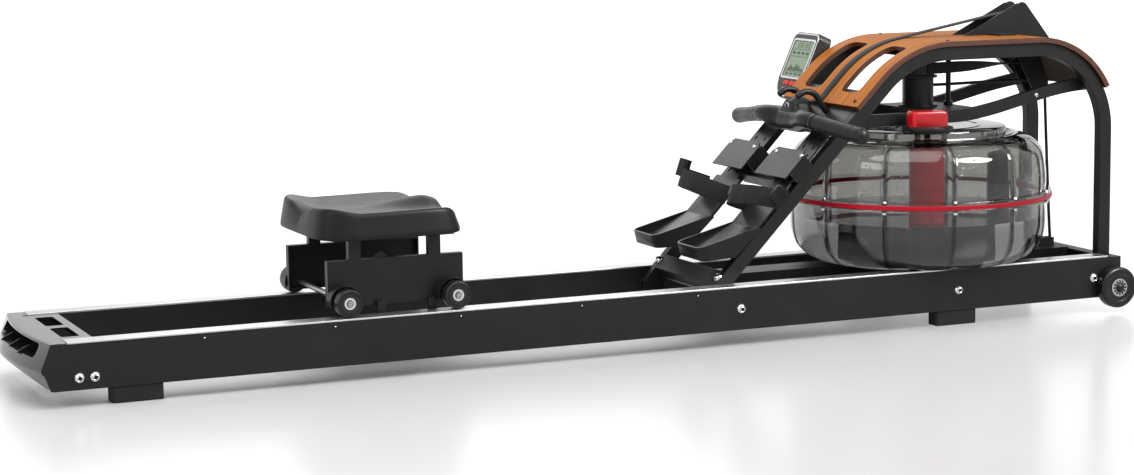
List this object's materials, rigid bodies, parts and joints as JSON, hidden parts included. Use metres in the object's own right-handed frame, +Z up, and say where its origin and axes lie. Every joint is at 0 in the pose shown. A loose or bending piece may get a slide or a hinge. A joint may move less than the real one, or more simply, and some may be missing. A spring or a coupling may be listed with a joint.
{
  "type": "water rowing machine",
  "caption": "Water-resistance rowing machine: a rolling seat on rails, sliding foot rests, a belt-pulled handle, and a wood-topped arch over a round water tank.",
  "frame": {"origin": "centre of the bounding box in plan, at floor level", "axes": "+X from the rear end cap towards the transport wheels, +Z up, +Y towards the console side"},
  "size_m": [2.1459, 0.512, 0.593],
  "materials": {
    "painted_steel": "satin black powder coat",
    "running_aluminium": "brushed",
    "gloss_black_plastic": "moulded, glossy",
    "black_rubber": "matt",
    "bright_bolts": "polished",
    "steel": "zinc plated",
    "grey_plate": "fine texture",
    "plywood": "satin lacquered plywood, dark edges",
    "tank_clear": "smoked clear plastic",
    "seal_red": "matt",
    "selector_red": "glossy",
    "tube_red": "clear red",
    "tube_dark": "glossy",
    "water": "clear",
    "black_plastic": "matt",
    "webbing": "woven",
    "seat_foam": "moulded foam skin",
    "console_shell": "moulded",
    "key_red": "matt",
    "key_grey": "matt"
  },
  "bodies": {
    "frame": {"rail_near": "painted_steel", "rail_far": "painted_steel", "running_strips": "running_aluminium", "end_cap": "gloss_black_plastic", "cap_tray": "gloss_black_plastic", "feet": "black_rubber", "cross_members": "painted_steel", "centre_beam": "painted_steel", "frame_bolts": "bright_bolts", "arch_near": "painted_steel", "arch_far": "painted_steel", "leg_crossbars": "painted_steel", "hook_plate": "grey_plate", "handle_hooks": "black_rubber", "wood_panel": "plywood", "bearing_beams": "painted_steel", "top_plate": "painted_steel", "lower_plate": "painted_steel", "tie_rod": "steel", "horn_plates": "painted_steel", "idler_frame": "painted_steel", "tank_lower": "tank_clear", "tank_upper": "tank_clear", "tank_seal": "seal_red", "tank_bolts": "bright_bolts", "selector_tube": "tube_red", "filler_tube": "tube_dark", "water": "water", "drive_belt": "webbing", "recoil_cord": "webbing", "toe_plates": "grey_plate", "wheel_axles": "steel", "console_arm": "painted_steel"},
    "seat": {"carriage": "painted_steel", "seat_pad": "seat_foam", "axles": "steel"},
    "rear_near_roller": {"roller_rear_near": "black_plastic"},
    "rear_far_roller": {"roller_rear_far": "black_plastic"},
    "front_near_roller": {"roller_front_near": "black_plastic"},
    "front_far_roller": {"roller_front_far": "black_plastic"},
    "handle": {"handle": "black_rubber", "grips": "black_rubber"},
    "drum": {"drum": "black_plastic"},
    "impeller": {"impeller": "steel"},
    "horn_pulley": {"horn_pulley": "black_plastic"},
    "belt_idler": {"belt_idler": "black_plastic"},
    "cord_idler": {"cord_idler": "black_plastic"},
    "cord_foot_idler": {"cord_foot_idler": "black_plastic"},
    "near_foot_rest": {"heel_near": "black_plastic", "strap_near": "webbing"},
    "far_foot_rest": {"heel_far": "black_plastic", "strap_far": "webbing"},
    "near_wheel": {"wheel_near": "black_rubber"},
    "far_wheel": {"wheel_far": "black_rubber"},
    "selector": {"selector_knob": "selector_red"},
    "console": {"console": "console_shell"},
    "red_left_key": {"key_red_left": "key_red"},
    "red_right_key": {"key_red_right": "key_red"},
    "grey_left_key": {"key_grey_left": "key_grey"},
    "grey_right_key": {"key_grey_right": "key_grey"}
  },
  "joints": [
    {"name": "seat_slide", "type": "slide", "parent": "frame", "child": "seat", "axis": [1, 0, 0], "range_m": [-0.385, 0.385]},
    {"name": "rear_near_roller_spin", "type": "hinge", "parent": "seat", "child": "rear_near_roller", "pos_m": [-0.51275, -0.1535, 0.1323], "axis": [0, 1, 0], "continuous": true},
    {"name": "rear_far_roller_spin", "type": "hinge", "parent": "seat", "child": "rear_far_roller", "pos_m": [-0.51275, 0.1535, 0.1323], "axis": [0, 1, 0], "continuous": true},
    {"name": "front_near_roller_spin", "type": "hinge", "parent": "seat", "child": "front_near_roller", "pos_m": [-0.31575, -0.1535, 0.1323], "axis": [0, 1, 0], "continuous": true},
    {"name": "front_far_roller_spin", "type": "hinge", "parent": "seat", "child": "front_far_roller", "pos_m": [-0.31575, 0.1535, 0.1323], "axis": [0, 1, 0], "continuous": true},
    {"name": "handle_pull", "type": "slide", "parent": "frame", "child": "handle", "axis": [-1, 0, 0], "range_m": [0, 1]},
    {"name": "drum_spin", "type": "hinge", "parent": "frame", "child": "drum", "pos_m": [0.69975, 0, 0.44], "axis": [0, 0, 1], "continuous": true},
    {"name": "impeller_spin", "type": "hinge", "parent": "frame", "child": "impeller", "pos_m": [0.69975, 0, 0.15], "axis": [0, 0, 1], "continuous": true},
    {"name": "horn_pulley_spin", "type": "hinge", "parent": "frame", "child": "horn_pulley", "pos_m": [0.91075, 0, 0.553], "axis": [0, 1, 0], "continuous": true},
    {"name": "belt_idler_spin", "type": "hinge", "parent": "frame", "child": "belt_idler", "pos_m": [0.93275, 0, 0.497], "axis": [0, 1, 0], "continuous": true},
    {"name": "cord_idler_spin", "type": "hinge", "parent": "frame", "child": "cord_idler", "pos_m": [0.97275, 0, 0.424], "axis": [0, 1, 0], "continuous": true},
    {"name": "cord_foot_idler_spin", "type": "hinge", "parent": "frame", "child": "cord_foot_idler", "pos_m": [0.99275, 0, 0.11], "axis": [0, 1, 0], "continuous": true},
    {"name": "near_foot_rest_slide", "type": "slide", "parent": "frame", "child": "near_foot_rest", "axis": [0.6997, 0, 0.7145], "range_m": [-0.0414, 0.0207]},
    {"name": "far_foot_rest_slide", "type": "slide", "parent": "frame", "child": "far_foot_rest", "axis": [0.6997, 0, 0.7145], "range_m": [-0.0414, 0.0207]},
    {"name": "near_wheel_spin", "type": "hinge", "parent": "frame", "child": "near_wheel", "pos_m": [1.03375, -0.186, 0.048], "axis": [0, 1, 0], "continuous": true},
    {"name": "far_wheel_spin", "type": "hinge", "parent": "frame", "child": "far_wheel", "pos_m": [1.03375, 0.186, 0.048], "axis": [0, 1, 0], "continuous": true},
    {"name": "selector_turn", "type": "hinge", "parent": "frame", "child": "selector", "pos_m": [0.63275, -0.145, 0.37], "axis": [0, 0, 1], "range_deg": [-150, 150]},
    {"name": "console_tilt", "type": "hinge", "parent": "frame", "child": "console", "pos_m": [0.58628, 0.2, 0.48132], "axis": [0, 1, 0], "range_deg": [-15, 15]},
    {"name": "red_left_key_press", "type": "slide", "parent": "console", "child": "red_left_key", "axis": [0.9135, 0, -0.4067], "range_m": [0, 0.0015], "stiffness_N_per_m": 400},
    {"name": "red_right_key_press", "type": "slide", "parent": "console", "child": "red_right_key", "axis": [0.9135, 0, -0.4067], "range_m": [0, 0.0015], "stiffness_N_per_m": 400},
    {"name": "grey_left_key_press", "type": "slide", "parent": "console", "child": "grey_left_key", "axis": [0.9135, 0, -0.4067], "range_m": [0, 0.0015], "stiffness_N_per_m": 400},
    {"name": "grey_right_key_press", "type": "slide", "parent": "console", "child": "grey_right_key", "axis": [0.9135, 0, -0.4067], "range_m": [0, 0.0015], "stiffness_N_per_m": 400}
  ],
  "couplings": [
    {"joint": "rear_near_roller_spin", "follows": "seat_slide", "rad_per_m": 41.667},
    {"joint": "rear_far_roller_spin", "follows": "seat_slide", "rad_per_m": 41.667},
    {"joint": "front_near_roller_spin", "follows": "seat_slide", "rad_per_m": 41.667},
    {"joint": "front_far_roller_spin", "follows": "seat_slide", "rad_per_m": 41.667},
    {"joint": "drum_spin", "follows": "handle_pull", "rad_per_m": 30.722},
    {"joint": "impeller_spin", "follows": "handle_pull", "rad_per_m": 30.722},
    {"joint": "horn_pulley_spin", "follows": "handle_pull", "rad_per_m": -42.463},
    {"joint": "belt_idler_spin", "follows": "handle_pull", "rad_per_m": -42.463},
    {"joint": "cord_idler_spin", "follows": "handle_pull", "rad_per_m": -67.066},
    {"joint": "cord_foot_idler_spin", "follows": "handle_pull", "rad_per_m": -67.066}
  ]
}
